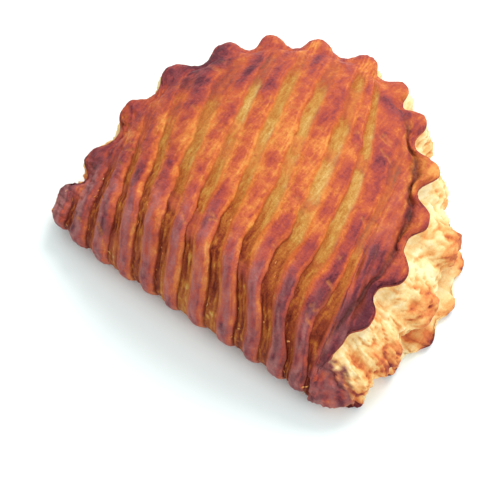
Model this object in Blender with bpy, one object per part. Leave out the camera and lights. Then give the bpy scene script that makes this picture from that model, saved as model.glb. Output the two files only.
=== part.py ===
"""Fruit turnover in puff pastry, baked: one folded, crimped and slashed parcel.

One closed solid. The fold runs along X at the front, the crimped edge arches
back from one end of the fold to the other, and +Z is up. The origin is at the
centre of the rectangle that holds the base, on the surface it rests on.

The top skin is a four-sided patch, lofted from the fold to the arch along
lines that follow the slats. A wall of rings hangs from its edge: along the
fold it is a rounded nose, and along the arch it is the cut edge, where both
sheets have puffed into layers and flare outwards below the skin.
"""
import bpy
import bmesh
import numpy as np
from math import pi

MM = 0.001

# Driving dimensions, in millimetres
FOLD_HALF = 57.5          # half the length of the fold, at the top skin
SKIN_HALF = 59.7          # half the widest width of the top skin
SKIN_DEPTH = 110.5        # from the corners' line to the top of the arch
SIDE_DEPTH = 38.0         # where the sides turn into the arch
ARCH_LEAN = -5.0          # how far the top of the arch leans along X
SHOULDER = 0.06           # the arch is this share fuller at its right shoulder
SHOULDER_AT = 1.25        # angle of the shoulder round the arch, from the right
FOLD_BOW = 2.2            # how far the fold stands in front of the corners
FOLD_SKEW = 0.6           # more of it on the left

DOME_HEIGHT = 40.5        # top of the filled middle
EDGE_HEIGHT = 27.0        # top skin at the cut edge, at the back
EDGE_LEFT = 13.5          # and at the left and right ends of the fold
EDGE_RIGHT = 23.0
DOME_RUN = 56.0           # width over which the dome rises from the edge
DOME_RUN_LEFT = 70.0

NOSE_HEIGHT = 11.0        # the fold's foremost line
NOSE_RUN = 15.0           # run of the nose behind the fold line
NOSE_OUT = 2.2            # and in front of it

SEAL_INSET = 5.6          # the pressed seal, just inside the cut edge
SEAL_DEPTH = 2.0          # at the right; shallow at the back
SEAL_BACK = 0.25
LIP_RISE = 1.0            # the skin curls up outside the seal

FLARE = 13.4              # how far the lower layers stand out, at the right
FLARE_LEFT = 0.04         # share of it at the left end, and at the back
FLARE_BACK = 0.25
BASE_FLARE = 17.6         # the base skin stands out further, at the right
TEETH = (7, 23, 45, 66, 89, 106, 124, 144, 161, 176, 198, 218, 242, 262, 288)
TOOTH_DEPTH = 2.9         # scallops of the crimped edge, at those runs of rim
TOOTH_RUN = 8.5           # the scallops reach this far in over the skin
FINGER = 2.2              # one tooth stands out further
FINGER_AT = 89.5          # run of rim back from the right corner
SHEET_TOOTH = 1.2         # the layers below are scalloped less
BASE_TOOTH = 1.6
BASE_TEETH = (8.0, 26.0, 42.0, 55.0, 70.0, 84.0, 99.0)      # run back from the right corner
CORNER_TURN = 6.0         # the wall turns within this of the fold's ends

SLAT_RELIEF = 2.1         # slats between the slashes
SLASH_SPAN = 50.0
SLASHES = (               # X of each slat's left edge: at the fold, 50 and 100 behind
    (-59.0, -82.0, -105.0), (-48.5, -70.5, -92.0), (-37.2, -58.6, -79.0),
    (-26.5, -50.0, -64.0), (-15.5, -39.5, -53.0), (-5.5, -24.2, -39.5),
    (4.6, -12.4, -28.5), (14.8, -0.4, -17.4), (25.8, 11.8, -3.8),
    (35.4, 25.4, 7.0), (44.4, 36.4, 14.0), (56.3, 45.6, 33.0), (66.0, 56.0, 44.0))
SWEEP = 5.0               # the slats swing right as they go down the fold
SLAT_WIDTH = (0.64, 0.64, 0.62, 0.60, 0.58, 0.57, 0.55, 0.54, 0.55, 0.56, 0.60, 0.60)

SLAT_SHARE = 0.64         # of the pitch, in slat phase
FIRST_SLAT, LAST_SLAT = 1, 11                     # slashes that cross the whole skin
SLAT_LINES = (0.0, 0.12, 0.32, 0.52, 0.64, 0.70, 0.82, 0.93)
LEFT_LINES, RIGHT_LINES = 6, 16
LINES = 8 * (LAST_SLAT - FIRST_SLAT) + 1 + LEFT_LINES + RIGHT_LINES
STEPS = 23                # resolution along the slats

# The cut edge from the skin down: share of the flare, upper and lower tooth,
# millimetres outwards, share of the skin's height, millimetres of height
CUT_EDGE = (
    (0.00, 0.00, 0.00, 0.3, 1.00, -1.2),      # underside of the skin
    (0.00, 0.30, 0.00, -1.4, 1.00, -2.6),     # undercut behind it
    (0.16, 0.70, 0.00, 0.8, 0.81, 0.0),       # upper sheet's puffed layers
    (0.48, 0.85, 0.00, 0.0, 0.70, 0.0),
    (0.82, 0.95, 0.00, 0.0, 0.58, 0.0),
    (0.97, 1.00, 0.00, 0.0, 0.47, 0.0),       # its lower lip
    (0.93, 1.00, 0.00, 0.0, 0.39, 0.0),
    (0.76, 0.70, 0.30, 0.0, 0.31, 0.0),       # waist between the sheets
    (0.78, 0.20, 0.80, 0.0, 0.20, 0.0),       # lower sheet
    (1.04, 0.00, 1.00, 0.0, 0.00, 3.0),       # its baked base skin
    (1.00, 0.00, 1.00, 0.0, 0.00, 1.4),
    (0.72, 0.00, 1.00, 0.0, 0.00, 0.0),
)
BASE_ROWS = 3                                 # the last rows follow the base skin


def mix(a, b, t):
    return a + (b - a) * t


def smooth(t):
    t = np.clip(t, 0.0, 1.0)
    return t * t * (3.0 - 2.0 * t)


def bump(x, width):
    return np.exp(-(x / width) ** 2)


# Plan of the top skin

def side_half_width(y):
    """Half the skin's width beside the fold, where it still widens."""
    return SKIN_HALF - (SKIN_HALF - FOLD_HALF) * ((SIDE_DEPTH - y) / SIDE_DEPTH) ** 2


def skin_outline(count=300):
    """Points from the left corner over the arch to the right corner."""
    y = np.linspace(0.0, SIDE_DEPTH, count)
    angle = np.linspace(pi, 0.0, 3 * count)[1:-1]
    side = side_half_width(y)
    fuller = 1.0 + SHOULDER * bump(angle - SHOULDER_AT, 0.42)
    arch_x = SKIN_HALF * np.cos(angle) * fuller + ARCH_LEAN * np.sin(angle) ** 2
    arch_y = SIDE_DEPTH + (SKIN_DEPTH - SIDE_DEPTH) * np.sin(angle) * fuller
    return np.concatenate([np.stack([-side, y], -1),
                           np.stack([arch_x, arch_y], -1),
                           np.stack([side, y], -1)[::-1]])


OUTLINE = skin_outline()
OUTLINE_RUN = np.r_[0.0, np.cumsum(np.linalg.norm(np.diff(OUTLINE, axis=0), axis=1))]
RIM = OUTLINE_RUN[-1]
LEFT_SIDE = 11.0                    # lengths of rim that bound the patch
RIGHT_SIDE = 36.0


def rim_point(run):
    return np.stack([np.interp(run, OUTLINE_RUN, OUTLINE[:, 0]),
                     np.interp(run, OUTLINE_RUN, OUTLINE[:, 1])], -1)


def rim_normal(run):
    """Unit vector out of the plan, square to the rim."""
    along = rim_point(np.minimum(run + 1.5, RIM)) - rim_point(np.maximum(run - 1.5, 0.0))
    out = np.stack([-along[..., 1], along[..., 0]], -1)
    return out / np.linalg.norm(out, axis=-1, keepdims=True)


def rim_distance(x, y):
    """Distance to the rim, and the run along it of the nearest point."""
    near, run = np.empty(x.size), np.empty(x.size)
    points = np.stack([x.ravel(), y.ravel()], -1)
    rim, rim_run = OUTLINE[::2], OUTLINE_RUN[::2]
    for start in range(0, len(points), 2000):
        part = points[start:start + 2000]
        gap = np.linalg.norm(part[:, None] - rim[None], axis=2)
        pick = gap.argmin(axis=1)
        near[start:start + 2000] = gap[np.arange(len(part)), pick]
        run[start:start + 2000] = rim_run[pick]
    return near.reshape(x.shape), run.reshape(x.shape)


def fold_y(x):
    """The fold's top line: straight, turning back at its two corners."""
    along = x / FOLD_HALF
    return -FOLD_BOW * (1.0 - FOLD_SKEW * along) * np.clip(1.0 - np.abs(along) ** 6, 0.0, 1.0)


def teeth(run, shift=0.0):
    """-1 in a notch to 1 on a tooth."""
    phase = np.interp(run, TEETH, np.arange(len(TEETH)))
    wave = 0.5 + 0.5 * np.cos(2.0 * pi * (phase + shift))
    return 2.0 * wave ** 0.8 - 1.0


def tooth_reach(run):
    """How far the scallops push the cut edge out or in."""
    fade = smooth(np.minimum(run / 8.0, (RIM - run - 14.0) / 8.0))
    return (TOOTH_DEPTH * teeth(run) + FINGER * bump(RIM - run - FINGER_AT, 5.0)) * fade


def base_teeth(run):
    """Scallops of the base skin, 0 between them to 1 on each."""
    return np.max([bump(RIM - run - at, 4.6) for at in BASE_TEETH], axis=0)


# Heights

def edge_height(run):
    rise = mix(EDGE_LEFT, EDGE_HEIGHT, smooth(run / RIM / 0.25))
    return rise - (EDGE_HEIGHT - EDGE_RIGHT) * smooth((run / RIM - 0.86) / 0.14)


def skin_height(x, y):
    """The top skin without its slats, its distance from the rim and the run
    of rim beside it."""
    inset, run = rim_distance(x, y)
    edge = edge_height(run)
    dome_run = mix(DOME_RUN_LEFT, DOME_RUN, smooth((x + 54.0) / 54.0))
    rise = 1.0 - (1.0 - np.clip(inset / dome_run, 0.0, 1.0)) ** 2
    z = mix(edge, DOME_HEIGHT, rise)
    crimp = smooth((np.minimum(run, RIM - run) - 6.0) / 22.0)      # none at the fold's ends
    crimp_right = mix(SEAL_BACK, 1.0, smooth((run / RIM - 0.58) / 0.12))
    z -= crimp * crimp_right * SEAL_DEPTH * bump(inset - SEAL_INSET, 2.8)
    z += crimp * (crimp_right * LIP_RISE * bump(inset - 1.0, 2.6) - smooth(1.0 - inset / 9.0))
    back = np.clip(y - fold_y(x), 0.0, NOSE_RUN)
    nose = np.sqrt(1.0 - ((NOSE_RUN - back) / (NOSE_RUN + NOSE_OUT)) ** 2)
    return NOSE_HEIGHT + (z - NOSE_HEIGHT) * nose, inset, run


# Slats

def opening(y):
    """0 over the fold to 1 where the slashes gape."""
    return smooth((y - 14.0) / 36.0)


def slash_edges(y):
    """X of every slat's left edge at each y."""
    y = np.maximum(y, -3.0)
    t = y / SLASH_SPAN
    swing = 1.0 - smooth((y + 3.0) / 14.0) - 0.36 * bump(y - 21.0, 8.0)
    edges = []
    for number, (at_fold, middle, back) in enumerate(SLASHES):
        bend = 0.5 * (at_fold + back) - middle
        edge = at_fold + (middle - at_fold - bend) * t + bend * t ** 2
        edge = edge + 0.4 * np.sin(4.2 * t + 0.9 * at_fold)              # cut by hand
        edges.append(edge + (number < LAST_SLAT) * SWEEP * smooth((at_fold + 12.0) / 40.0) * swing)
    return np.array(edges)


def slat_phase(x, y):
    """Counts the slats from the left. A whole number on each slat's left
    edge, and SLAT_SHARE further on its right edge."""
    edges = slash_edges(y)
    phase = 0.0
    for left, right, slat in zip(edges[:-1], edges[1:], SLAT_WIDTH):
        part = np.clip((x - left) / (right - left), 0.0, 1.0)
        phase = phase + np.where(part < slat, part / slat * SLAT_SHARE,
                                 1.0 - (1.0 - part) / (1.0 - slat) * (1.0 - SLAT_SHARE))
    return phase


def slat_x(phase, y):
    """X at a slat phase."""
    edges = slash_edges(y)
    number = np.clip(np.floor(phase), 0, len(SLASHES) - 2).astype(int)
    slat, part = np.array(SLAT_WIDTH)[number], phase - number
    part = np.where(part < SLAT_SHARE, part / SLAT_SHARE * slat,
                    1.0 - (1.0 - part) / (1.0 - SLAT_SHARE) * (1.0 - slat))
    left = np.take_along_axis(edges, number[None], 0)[0]
    right = np.take_along_axis(edges, number[None] + 1, 0)[0]
    return mix(left, right, part)


def slat_relief(phase, opened):
    """0 on a slash's floor to 1 on a slat. The slat overhangs on its right,
    and the floor of an opened slash climbs to the next slat's left edge."""
    phase = np.where(phase > LAST_SLAT, LAST_SLAT + 0.5 * SLAT_SHARE, phase)
    side = phase - np.floor(phase)
    floor = 0.45 * opened * np.clip((side - SLAT_SHARE) / (1.0 - SLAT_SHARE), 0.0, 1.0)
    climb = np.maximum(smooth((SLAT_SHARE + 0.06 - side) / 0.06), smooth((side - 0.93) / 0.07))
    over = np.where(side > 0.9, side - 1.0, side) / SLAT_SHARE
    crown = 1.0 - 0.22 * np.abs(2.0 * np.clip(over, 0.0, 1.0) - 1.0) ** 2.2
    return mix(floor, crown, climb)


# Mesh

def loft_lines():
    """Slat phase, place on the fold and run on the rim of each line. Between
    the first and last slash the lines follow the slats; outside them they
    fan out to the sides of the rim."""
    numbers = np.arange(FIRST_SLAT, LAST_SLAT)
    phase = np.r_[(numbers[:, None] + np.array(SLAT_LINES)[None]).ravel(), LAST_SLAT]
    fold_x = slat_x(phase, fold_y(slat_x(phase, np.zeros(phase.shape))))
    rim_phase = np.maximum.accumulate(slat_phase(OUTLINE[:, 0], OUTLINE[:, 1]))
    on_way = OUTLINE_RUN < 0.75 * RIM
    rim_phase = rim_phase[on_way] + 1e-6 * np.arange(on_way.sum())
    run = np.interp(phase, rim_phase, OUTLINE_RUN[on_way])
    left = np.linspace(0.0, 1.0, LEFT_LINES + 1)[:-1]
    right = np.linspace(0.0, 1.0, RIGHT_LINES + 1)[1:]
    fold_x = np.r_[mix(-FOLD_HALF, fold_x[0], left), fold_x, mix(fold_x[-1], FOLD_HALF, right)]
    run = np.r_[mix(LEFT_SIDE, run[0], left), run, mix(run[-1], RIM - RIGHT_SIDE, right)]
    phase = np.r_[np.full(LEFT_LINES, phase[0]), phase, np.full(RIGHT_LINES, phase[-1])]
    return phase, fold_x, run


def skin_patch():
    """Top skin as lines x steps, and the rim runs of its three sides."""
    phase, fold_x, arch_run = loft_lines()
    step = np.linspace(0.0, 1.0, STEPS)
    step = mix(step, 1.0 - (1.0 - step) ** 1.6, 0.5)           # finer at the rim
    fold = np.stack([fold_x, fold_y(fold_x)], -1)
    left_run, right_run = step * LEFT_SIDE, RIM - step * RIGHT_SIDE
    arch, left, right = rim_point(arch_run), rim_point(left_run), rim_point(right_run)
    arch[0], arch[-1], fold[0], fold[-1] = left[-1], right[-1], left[0], right[0]
    v = step[None, :, None]
    plan = mix(fold[:, None], arch[:, None], v)
    # bow each line: the slat's own curve inside, the sides of the rim outside
    y = plan[..., 1]
    along = slat_x(np.repeat(phase[:, None], STEPS, 1), y)
    bow = along - mix(along[:, :1], along[:, -1:], step[None])
    plan[..., 0] += bow
    first, last = LEFT_LINES, len(fold_x) - 1 - RIGHT_LINES
    u = 1.0 - np.clip(np.arange(len(fold_x)) / first, 0.0, 1.0)[:, None, None]
    w = np.clip((np.arange(len(fold_x)) - last) / RIGHT_LINES, 0.0, 1.0)[:, None, None]
    plan = plan + u * (left - plan[0])[None] + w * (right - plan[-1])[None]
    z, inset, run = skin_height(plan[..., 0], plan[..., 1])
    run[:, -1], run[-1], run[0] = arch_run, right_run, left_run
    # the scallops push the skin near the rim in and out
    reach = tooth_reach(run) * (1.0 - smooth(inset / TOOTH_RUN))
    plan = plan + rim_normal(run) * reach[..., None]
    return np.concatenate([plan, z[..., None]], -1), inset, (right_run, arch_run, left_run)


def border(runs):
    """Grid indices round the patch, counter-clockwise from the left corner
    along the fold, with the rim run of each (none on the fold)."""
    right_run, arch_run, left_run = runs
    walk = [(i, 0) for i in range(LINES)]
    walk += [(LINES - 1, j) for j in range(1, STEPS)]
    walk += [(i, STEPS - 1) for i in range(LINES - 2, -1, -1)]
    walk += [(0, j) for j in range(STEPS - 2, 0, -1)]
    run = np.concatenate([np.full(LINES, np.nan), right_run[1:],
                          arch_run[::-1][1:], left_run[::-1][1:-1]])
    return np.array(walk), run


def corner_walk(edge):
    """Distance along the border from the left and from the right corner,
    negative on the fold."""
    walk = np.r_[0.0, np.cumsum(np.linalg.norm(np.diff(edge[:, :2], axis=0), axis=1))]
    left = np.where(np.arange(len(walk)) >= LINES, walk[-1] - walk, -walk)
    return left, walk - walk[LINES - 1]


def outward(edge, run):
    """Direction of the wall at each border point, turning at the corners."""
    out = np.where(np.isnan(run)[:, None], (0.0, -1.0), rim_normal(np.nan_to_num(run)))
    left, right = corner_walk(edge)
    for walk, start, end in ((left, 1.5 * pi, pi - 0.04), (right, -0.5 * pi, 0.04)):
        turning = np.abs(walk) < CORNER_TURN
        angle = mix(start, end, smooth(0.5 + 0.5 * walk / CORNER_TURN))
        out[turning] = np.stack([np.cos(angle), np.sin(angle)], -1)[turning]
    return out


def wall_rings(edge, run):
    """Rings from the skin's edge down to the base, and each column's share
    of cut edge (0 on the fold, 1 on the rim)."""
    out = outward(edge, run)
    left, right = corner_walk(edge)
    run = np.where(np.isnan(run), np.where(edge[:, 0] < 0.0, 0.0, RIM), run)
    on_rim = np.arange(len(edge)) >= LINES
    cut = smooth((right + 1.5) / 7.5) * np.where(on_rim, smooth(left / 14.0), 1.0)
    share = run / RIM
    side = smooth((share - 0.59) / 0.18)
    side = mix(mix(FLARE_LEFT, FLARE_BACK, smooth(share / 0.21)), 1.0, side)
    base = BASE_FLARE / FLARE * (1.0 - 0.38 * smooth((share - 0.84) / 0.12))
    base = mix(1.0, base, smooth((share - 0.66) / 0.14)) * side * FLARE
    flares = [side * FLARE] * (len(CUT_EDGE) - BASE_ROWS) + [base] * BASE_ROWS
    skin = TOOTH_DEPTH * teeth(run) * smooth(np.minimum(run, RIM - run) / 8.0)
    skin = skin + (FINGER + 1.2) * bump(RIM - run - FINGER_AT + 1.0, 8.0)
    apart = 1.0 - 0.5 * smooth((share - 0.10) / 0.20) * (1.0 - smooth((share - 0.62) / 0.12))
    upper = apart * (SHEET_TOOTH * teeth(run, -0.05) - skin)
    lower = BASE_TOOTH * (2.0 * base_teeth(run) - 1.0) - skin
    top = edge[:, 2]
    nose_top = np.arccos(NOSE_RUN / (NOSE_RUN + NOSE_OUT))
    half = len(CUT_EDGE) // 2
    turns = np.r_[np.linspace(nose_top, 0.0, half + 1)[1:], np.linspace(0.0, -0.5 * pi, half + 1)[1:]]
    rings = []
    for turn, flare, (share, up, low, out_mm, height, height_mm) in zip(turns, flares, CUT_EDGE):
        if turn >= 0.0:
            nose = (NOSE_RUN + NOSE_OUT) * np.cos(turn) - NOSE_RUN
            nose_z = NOSE_HEIGHT + (top - NOSE_HEIGHT) * np.sin(turn) / np.sin(nose_top)
        else:
            nose = 8.0 * np.cos(turn) - 8.0 + NOSE_OUT
            nose_z = NOSE_HEIGHT * (1.0 + np.sin(turn))
        reach = mix(nose, share * flare + up * upper + low * lower + out_mm, cut)
        z = mix(nose_z, height * top + height_mm, cut)
        rings.append(np.concatenate([edge[:, :2] + out * reach[:, None], z[:, None]], -1))
    return rings, cut


def vertex_normals(points, quads):
    corner = points[quads]
    face = np.cross(corner[:, 2] - corner[:, 0], corner[:, 3] - corner[:, 1])
    normal = np.zeros_like(points)
    for k in range(4):
        np.add.at(normal, quads[:, k], face)
    return normal / np.maximum(np.linalg.norm(normal, axis=1, keepdims=True), 1e-9)


def turnover_mesh():
    patch, inset, runs = skin_patch()
    walk, run = border(runs)
    rings, cut = wall_rings(patch[walk[:, 0], walk[:, 1]], run)

    points = [patch.reshape(-1, 3)] + rings
    i, j = np.meshgrid(np.arange(LINES - 1), np.arange(STEPS - 1), indexing="ij")
    at = i * STEPS + j
    quads = [np.stack([at, at + STEPS, at + STEPS + 1, at + 1], -1).reshape(-1, 4)]
    above, count = walk[:, 0] * STEPS + walk[:, 1], len(walk)
    for k in range(len(rings)):
        below = LINES * STEPS + k * count + np.arange(count)
        quads.append(np.stack([above, below, np.roll(below, -1), np.roll(above, -1)], -1))
        above = below
    points, quads = np.concatenate(points), np.concatenate(quads)

    # the slats stand out along the surface, over the top and round the fold
    x, y, z = points.T
    opened = opening(y)
    relief = slat_relief(slat_phase(x, y), opened) - 0.75
    strength = SLAT_RELIEF * mix(1.2, 1.0, opened) * smooth(z / 6.0)
    strength *= np.concatenate([smooth((inset.ravel() - 1.0) / 6.0), np.tile(1.0 - cut, len(rings))])
    points = points + vertex_normals(points, quads) * (relief * strength)[:, None]
    return points, quads, above[::-1]


def make_material(name, color, roughness):
    material = bpy.data.materials.new(name)
    material.use_nodes = True
    shader = material.node_tree.nodes["Principled BSDF"]
    shader.inputs["Base Color"].default_value = (*color, 1.0)
    shader.inputs["Roughness"].default_value = roughness
    shader.inputs["Metallic"].default_value = 0.0
    return material


def main():
    for old in list(bpy.data.objects):
        bpy.data.objects.remove(old, do_unlink=True)
    collection = bpy.data.collections.new("fruit_turnover")
    bpy.context.scene.collection.children.link(collection)

    points, quads, base = turnover_mesh()
    middle = 0.5 * (points.min(axis=0) + points.max(axis=0))
    points -= (middle[0], middle[1], 0.0)

    mesh = bpy.data.meshes.new("turnover")
    mesh.from_pydata((points * MM).tolist(), [], quads.tolist() + [base.tolist()])
    mesh.materials.append(make_material("baked_pastry", (0.42, 0.14, 0.035), 0.42))
    shape = bmesh.new()
    shape.from_mesh(mesh)
    bmesh.ops.recalc_face_normals(shape, faces=shape.faces)
    shape.to_mesh(mesh)
    shape.free()
    mesh.shade_smooth()
    mesh.set_sharp_from_angle(angle=0.9)
    collection.objects.link(bpy.data.objects.new("turnover", mesh))


main()
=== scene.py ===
"""Looks of the fruit turnover: the pastry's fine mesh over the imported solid,
its baked finish, loose flakes, floor, light and camera."""
from math import pi, radians, sin, cos

import bpy
import numpy as np
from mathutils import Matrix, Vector

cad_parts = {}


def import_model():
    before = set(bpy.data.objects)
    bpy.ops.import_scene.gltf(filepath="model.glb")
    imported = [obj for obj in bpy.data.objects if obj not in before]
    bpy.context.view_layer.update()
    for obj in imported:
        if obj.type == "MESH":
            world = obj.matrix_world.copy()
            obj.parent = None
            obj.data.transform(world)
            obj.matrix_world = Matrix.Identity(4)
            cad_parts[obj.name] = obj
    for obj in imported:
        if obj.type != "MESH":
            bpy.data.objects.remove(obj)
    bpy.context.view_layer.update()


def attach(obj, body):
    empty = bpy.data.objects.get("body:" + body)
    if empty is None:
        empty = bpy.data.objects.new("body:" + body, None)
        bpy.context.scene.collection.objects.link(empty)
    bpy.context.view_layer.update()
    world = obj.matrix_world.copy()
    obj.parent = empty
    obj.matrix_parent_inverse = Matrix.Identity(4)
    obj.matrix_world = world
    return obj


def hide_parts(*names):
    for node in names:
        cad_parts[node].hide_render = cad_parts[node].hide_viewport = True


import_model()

MM = 0.001

# The pastry's form, in millimetres, as in the solid it stands for
FOLD_HALF = 57.5
SKIN_HALF = 59.7
SKIN_DEPTH = 110.5
SIDE_DEPTH = 38.0
ARCH_LEAN = -5.0
SHOULDER, SHOULDER_AT = 0.06, 1.25
FOLD_BOW, FOLD_SKEW = 2.2, 0.6
DOME_HEIGHT = 40.5
EDGE_HEIGHT, EDGE_LEFT, EDGE_RIGHT = 27.0, 13.5, 23.0
DOME_RUN, DOME_RUN_LEFT = 56.0, 70.0
NOSE_HEIGHT, NOSE_RUN, NOSE_OUT = 11.0, 15.0, 2.2
SEAL_INSET, SEAL_DEPTH, LIP_RISE = 5.4, 2.6, 1.3
FLARE, FLARE_LEFT, FLARE_BACK, BASE_FLARE = 13.4, 0.04, 0.25, 17.6
TEETH = (7, 23, 45, 66, 89, 106, 124, 144, 161, 176, 198, 218, 242, 262, 288)
TOOTH_DEPTH, SHEET_TOOTH = 2.9, 1.2
BASE_TOOTH, CORNER_TURN = 1.6, 6.0
SHEET_SHIFT = -0.05       # of a tooth, by which the upper sheet's teeth lag the skin's
BASE_TEETH = (8.0, 26.0, 42.0, 55.0, 70.0, 84.0, 99.0)      # run back from the right corner
FINGER, FINGER_AT = 2.2, 89.5                               # one tooth stands out further
SLASH_SPAN = 50.0
SLASHES = (               # X of each slat's left edge: at the fold, 50 and 100 behind
    (-59.0, -82.0, -105.0), (-48.5, -70.5, -92.0), (-37.2, -58.6, -79.0),
    (-26.5, -50.0, -64.0), (-15.5, -39.5, -53.0), (-5.5, -24.2, -39.5),
    (4.6, -12.4, -28.5), (14.8, -0.4, -17.4), (25.8, 11.8, -3.8),
    (35.4, 25.4, 7.0), (44.4, 36.4, 14.0), (56.3, 45.6, 33.0), (66.0, 56.0, 44.0))
SWEEP = 5.0               # how far the slats swing right as they go down the fold
SLAT_SHARE = 0.64         # of a pitch, in slat coordinates; SLAT_WIDTH has the real widths
SLAT_PITCH = 11.0         # roughly, for noise that follows the slats
END_SLAT_SHARE = 0.30     # how far across the broad right end counts as, for its profile
FIRST_SLAT, LAST_SLAT = 1, 11
MIDDLE = (7.57, 56.48)    # centre of the plan, which is the frame's origin

# How much of its pitch each slat keeps
SLAT_WIDTH = (0.64, 0.64, 0.62, 0.60, 0.58, 0.57, 0.55, 0.54, 0.53, 0.51, 0.64, 0.60)
SHALLOW = 0.45            # how deep the last slash is, against the others

# How far behind the fold each slash of the left half closes, from the left
SLASH_ENDS = (20.0, 22.0, 30.0, 43.0, 60.0, 75.0, 88.0, 88.0)

# Relief, in millimetres
CREASE_DEPTH, CRACK_DEPTH, VEIN_DEPTH, KNUCKLE_RISE = 0.45, 0.45, 0.55, 2.1
CRACKS = 46
FLAKES, FLAKE_THICKNESS = 36, 0.09

# Resolution
LEFT_LINES, RIGHT_LINES = 26, 58     # beside the slats
STEPS = 128                          # from the fold to the rim
RINGS = 46                           # down the cut edge

# Colours. Each ramp runs from the palest or least baked to the darkest, but the
# slashes' runs from deep to pale.
PLAIN_BAKE = 0.41
SLAT_COLORS = ((0.0, (226, 152, 76)), (0.22, (212, 118, 57)), (0.42, (190, 86, 50)),
               (0.62, (168, 67, 54)), (0.80, (140, 56, 58)), (1.0, (94, 35, 46)))
SLASH_COLORS = ((0.0, (92, 24, 12)), (0.22, (136, 54, 26)), (0.42, (172, 92, 34)),
                (0.62, (190, 132, 60)), (0.80, (210, 164, 96)), (1.0, (238, 212, 156)))
CUT_COLORS = ((0.0, (249, 227, 180)), (0.20, (245, 205, 142)), (0.40, (234, 166, 98)),
              (0.60, (216, 122, 68)), (0.80, (170, 78, 58)), (1.0, (112, 44, 48)))
# mauve of the painted sheen, which stands for the glaze's reflection
SHEEN_COLOR = (176, 112, 106)
EDGE_COLOR = (212, 104, 24)
# dark red of the painted shade in the crevices under the slats' edges
CREVICE_SHADE_COLOR = (112, 30, 14)
VALLEY_COLOR = (84, 44, 40)
CRACK_COLOR = (206, 122, 66)
GLAZE_ROUGHNESS, CUT_ROUGHNESS, PASTRY_SPECULAR = 0.46, 0.72, 0.13
STREAK_STRETCH, STREAK_TURN = (1.0, 0.20, 0.28), 0.33      # fine streaks run along the slats

# Stage, in metres
FLOOR_HALF, FLOOR_COLOR = 4.0, (0.955, 0.985, 0.98, 1.0)
SKY_COLOR, SKY_STRENGTH = (0.885, 1.0, 1.0, 1.0), 0.88
LIGHT_TARGET = (0.0, 0.0, 0.02)
CAMERA_AZIMUTH, CAMERA_ELEVATION, CAMERA_DISTANCE = 37.6, 60.0, 0.492
CAMERA_LENS, CAMERA_SENSOR = 100.0, 36.0
CAMERA_TARGET = (0.00921 - MIDDLE[0] * MM, 0.0283 - MIDDLE[1] * MM, 0.014)

# The cut edge, from the skin down: share of the flare, upper and lower tooth,
# millimetres outwards, share of the skin's height, millimetres of height
CUT_EDGE = np.array((
    (0.00, 0.00, 0.00, 0.3, 1.00, -1.2),
    (0.00, 0.30, 0.00, -1.4, 1.00, -2.6),
    (0.16, 0.70, 0.00, 0.8, 0.81, 0.0),
    (0.48, 0.85, 0.00, 0.0, 0.70, 0.0),
    (0.82, 0.95, 0.00, 0.0, 0.58, 0.0),
    (0.97, 1.00, 0.00, 0.0, 0.47, 0.0),
    (0.93, 1.00, 0.00, 0.0, 0.39, 0.0),
    (0.76, 0.70, 0.30, 0.0, 0.31, 0.0),
    (0.78, 0.20, 0.80, 0.0, 0.20, 0.0),
    (1.04, 0.00, 1.00, 0.0, 0.00, 3.0),
    (1.00, 0.00, 1.00, 0.0, 0.00, 1.4),
    (0.72, 0.00, 1.00, 0.0, 0.00, 0.0)))


def mix(a, b, t):
    return a + (b - a) * t


def smooth(t):
    t = np.clip(t, 0.0, 1.0)
    return t * t * (3.0 - 2.0 * t)


def after(x, start, width):
    """0 up to start, rising smoothly to 1 over width."""
    return smooth((x - start) / width)


def before(x, end, width):
    """0 from end on, and 1 from width before it."""
    return smooth((end - x) / width)


def bump(x, width):
    return np.exp(-(x / width) ** 2)


# Noise

_rng = np.random.default_rng(11)
_perm = np.tile(_rng.permutation(256), 3)
_grad = _rng.normal(size=(256, 3))
_grad /= np.linalg.norm(_grad, axis=1, keepdims=True)


def noise(x, y, z, seed=0):
    """Smooth noise, about -1 to 1, with features one unit across."""
    p = np.stack(np.broadcast_arrays(x, y, z), -1).astype(float)
    p = p + (13.7 * seed, 7.3 * seed, 3.1 * seed)
    cell = np.floor(p).astype(int)
    f = p - cell
    u = f * f * f * (f * (f * 6.0 - 15.0) + 10.0)
    cell &= 255
    total = 0.0
    for i in (0, 1):
        for j in (0, 1):
            for k in (0, 1):
                at = _perm[(cell[..., 0] + i) & 255] + ((cell[..., 1] + j) & 255)
                g = _grad[_perm[_perm[at] + ((cell[..., 2] + k) & 255)]]
                d = f - (i, j, k)
                w = np.where((i, j, k), u, 1 - u).prod(-1)
                total = total + w * (g * d).sum(-1)
    return 1.8 * total


# Plan of the top skin

def side_half_width(y):
    return SKIN_HALF - (SKIN_HALF - FOLD_HALF) * ((SIDE_DEPTH - y) / SIDE_DEPTH) ** 2


def skin_outline(count=400):
    y = np.linspace(0.0, SIDE_DEPTH, count)
    angle = np.linspace(pi, 0.0, 3 * count)[1:-1]
    side = side_half_width(y)
    fuller = 1.0 + SHOULDER * bump(angle - SHOULDER_AT, 0.42)
    arch_x = SKIN_HALF * np.cos(angle) * fuller + ARCH_LEAN * np.sin(angle) ** 2
    arch_y = SIDE_DEPTH + (SKIN_DEPTH - SIDE_DEPTH) * np.sin(angle) * fuller
    return np.concatenate([np.stack([-side, y], -1),
                           np.stack([arch_x, arch_y], -1),
                           np.stack([side, y], -1)[::-1]])


OUTLINE = skin_outline()
OUTLINE_RUN = np.r_[0.0, np.cumsum(np.linalg.norm(np.diff(OUTLINE, axis=0), axis=1))]
RIM = OUTLINE_RUN[-1]
LEFT_SIDE, RIGHT_SIDE = 11.0, 36.0


def rim_point(run):
    return np.stack([np.interp(run, OUTLINE_RUN, OUTLINE[:, 0]),
                     np.interp(run, OUTLINE_RUN, OUTLINE[:, 1])], -1)


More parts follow.
